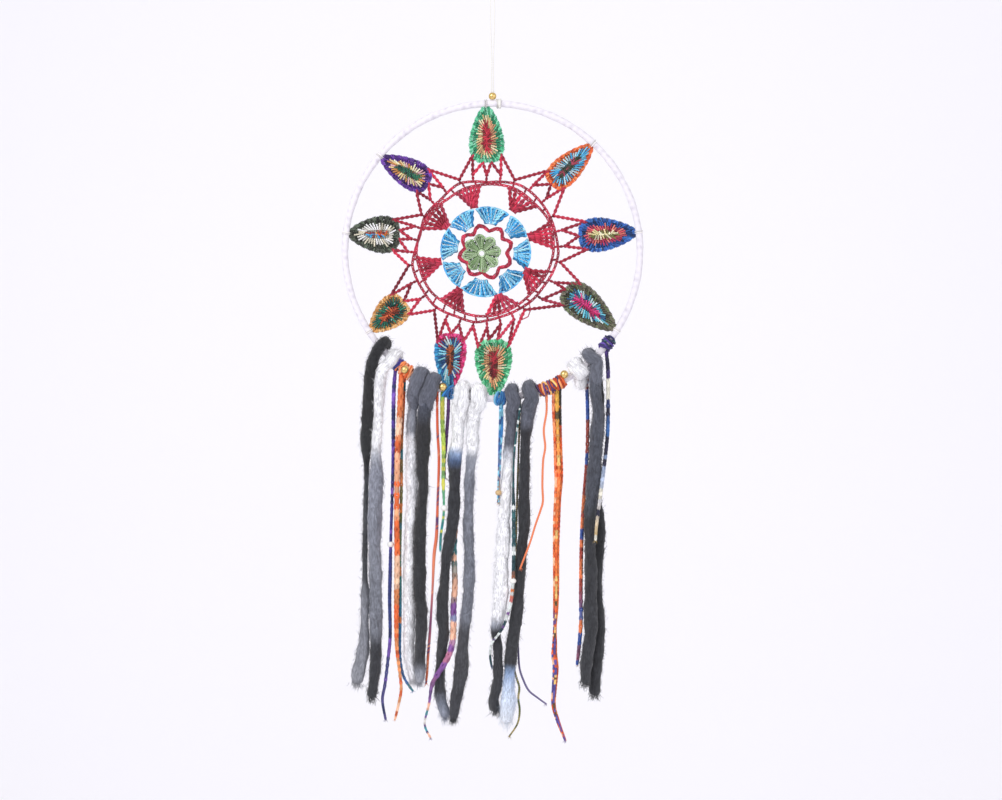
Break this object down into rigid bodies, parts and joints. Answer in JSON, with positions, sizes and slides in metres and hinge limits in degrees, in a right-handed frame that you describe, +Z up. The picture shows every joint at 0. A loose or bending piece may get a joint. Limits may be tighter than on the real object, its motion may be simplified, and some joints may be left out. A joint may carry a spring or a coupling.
{
  "type": "dream catcher",
  "caption": "Crocheted dream catcher: a yarn-wrapped hoop holding a bright mandala with leaves, hung on a thread, with felted wool tails, yarn strands and small beads below",
  "frame": {"origin": "where a hook carries the top of the hanging loop, on the loop's centre plane", "axes": "+Z up, -Y towards the front; the hoop lies in the X-Z plane below the origin"},
  "size_m": [0.302, 0.0305, 0.7782],
  "materials": {
    "thread": "two-ply white cotton thread, matt",
    "white_cotton": "white cotton yarn wound in close turns",
    "ring_wire": "plain steel ring wire",
    "brass_bead": "polished gold-coloured bead",
    "amber_bead": "glossy gold-amber bead",
    "white_bead": "glossy white bead",
    "tan_bead": "sealed tan bead",
    "green_cotton": "crocheted variegated green cotton",
    "crimson_cotton": "crocheted crimson cotton",
    "blue_cotton": "crocheted sky blue cotton",
    "orange_cotton": "crocheted orange cotton",
    "navy_cotton": "crocheted navy and royal blue cotton",
    "olive_cotton": "crocheted dark olive cotton",
    "magenta_cotton": "crocheted magenta cotton",
    "tan_cotton": "crocheted tan cotton",
    "purple_cotton": "crocheted dark purple cotton",
    "white_wool": "white felted wool roving",
    "grey_wool": "slate grey felted wool roving",
    "black_wool": "black felted wool roving"
  },
  "bodies": {
    "loop": {"hanging_loop": "thread"},
    "knot": {"loop_knot": "thread"},
    "thread": {"thread_left": "thread", "thread_right": "thread"},
    "top_bead": {"top_bead": "brass_bead"},
    "hoop": {"hoop_ring": "ring_wire", "hoop_wrap": "white_cotton", "hoop_tie": "thread", "flower": "green_cotton", "zigzag_ring": "crimson_cotton", "blue_shells": "blue_cotton", "crimson_net": "crimson_cotton", "leaf_top": "green_cotton", "leaf_upper_right": "orange_cotton", "leaf_right": "navy_cotton", "leaf_lower_right": "olive_cotton", "leaf_bottom_right": "green_cotton", "leaf_bottom_left": "magenta_cotton", "leaf_lower_left": "tan_cotton", "leaf_left": "olive_cotton", "leaf_upper_left": "purple_cotton", "knot_1_white": "white_wool", "knot_2_grey": "grey_wool", "knot_3_white": "white_wool", "knot_4_grey": "grey_wool", "knot_5_grey": "grey_wool", "knot_orange": "orange_cotton", "hoop_bead_left": "amber_bead", "hoop_bead_middle": "amber_bead", "hoop_bead_right": "amber_bead"},
    "tassel_1": {"tail_1_black": "black_wool", "tail_2_white_grey": "white_wool"},
    "strands_1": {"strand_purple_navy": "purple_cotton", "strand_orange_left": "orange_cotton", "strand_olive_teal": "olive_cotton", "bead_white_left": "white_bead"},
    "tassel_2": {"tail_3_grey_white": "white_wool", "tail_4_black": "black_wool"},
    "strands_2": {"strand_coral_dashed": "orange_cotton", "strand_green_beaded": "green_cotton", "strand_purple_middle": "purple_cotton", "bead_white_middle": "white_bead"},
    "tassel_3": {"tail_5_white_black": "black_wool", "tail_6_white_grey": "grey_wool", "strand_multicolour": "olive_cotton"},
    "tassel_4": {"tail_7_grey_white": "white_wool", "tail_8_grey_black": "black_wool", "strand_blue_beaded": "blue_cotton", "strand_teal_chain": "navy_cotton", "strand_coral_thin": "orange_cotton", "strand_grey_blue": "navy_cotton", "strand_brown_green": "olive_cotton", "bead_tan": "tan_bead", "bead_pearl": "white_bead"},
    "orange_bundle": {"strand_orange_bundle": "orange_cotton"},
    "tassel_5": {"tail_9_grey_black": "grey_wool", "tail_10_black": "black_wool", "strand_violet_chain": "purple_cotton", "strand_red_blue": "orange_cotton"}
  },
  "joints": [
    {"name": "swing_fore_aft", "type": "hinge", "parent": "loop", "child": "knot", "pos_m": [0, 0, -0.0263], "axis": [1, 0, 0], "range_deg": [-25, 25]},
    {"name": "swing_sideways", "type": "hinge", "parent": "knot", "child": "thread", "pos_m": [0, 0, -0.0263], "axis": [0, 1, 0], "range_deg": [-25, 25]},
    {"name": "hoop_turn", "type": "hinge", "parent": "thread", "child": "hoop", "pos_m": [0, 0, -0.287], "axis": [0, 0, 1], "continuous": true},
    {"name": "top_bead_slide", "type": "slide", "parent": "thread", "child": "top_bead", "axis": [0, 0, 1], "range_m": [0, 0.03]},
    {"name": "tassel_1_swing", "type": "hinge", "parent": "hoop", "child": "tassel_1", "pos_m": [-0.107, 0, -0.38852], "axis": [1, 0, 0], "range_deg": [-20, 20]},
    {"name": "strands_1_swing", "type": "hinge", "parent": "hoop", "child": "strands_1", "pos_m": [-0.093, 0, -0.40149], "axis": [1, 0, 0], "range_deg": [-20, 20]},
    {"name": "tassel_2_swing", "type": "hinge", "parent": "hoop", "child": "tassel_2", "pos_m": [-0.0675, 0, -0.41815], "axis": [1, 0, 0], "range_deg": [-20, 20]},
    {"name": "strands_2_swing", "type": "hinge", "parent": "hoop", "child": "strands_2", "pos_m": [-0.0495, 0, -0.42595], "axis": [1, 0, 0], "range_deg": [-20, 20]},
    {"name": "tassel_3_swing", "type": "hinge", "parent": "hoop", "child": "tassel_3", "pos_m": [-0.0225, 0, -0.43277], "axis": [1, 0, 0], "range_deg": [-20, 20]},
    {"name": "tassel_4_swing", "type": "hinge", "parent": "hoop", "child": "tassel_4", "pos_m": [0.0275, 0, -0.43191], "axis": [1, 0, 0], "range_deg": [-20, 20]},
    {"name": "orange_bundle_swing", "type": "hinge", "parent": "hoop", "child": "orange_bundle", "pos_m": [0.064, 0, -0.41989], "axis": [1, 0, 0], "range_deg": [-20, 20]},
    {"name": "tassel_5_swing", "type": "hinge", "parent": "hoop", "child": "tassel_5", "pos_m": [0.1015, 0, -0.39402], "axis": [1, 0, 0], "range_deg": [-20, 20]}
  ]
}
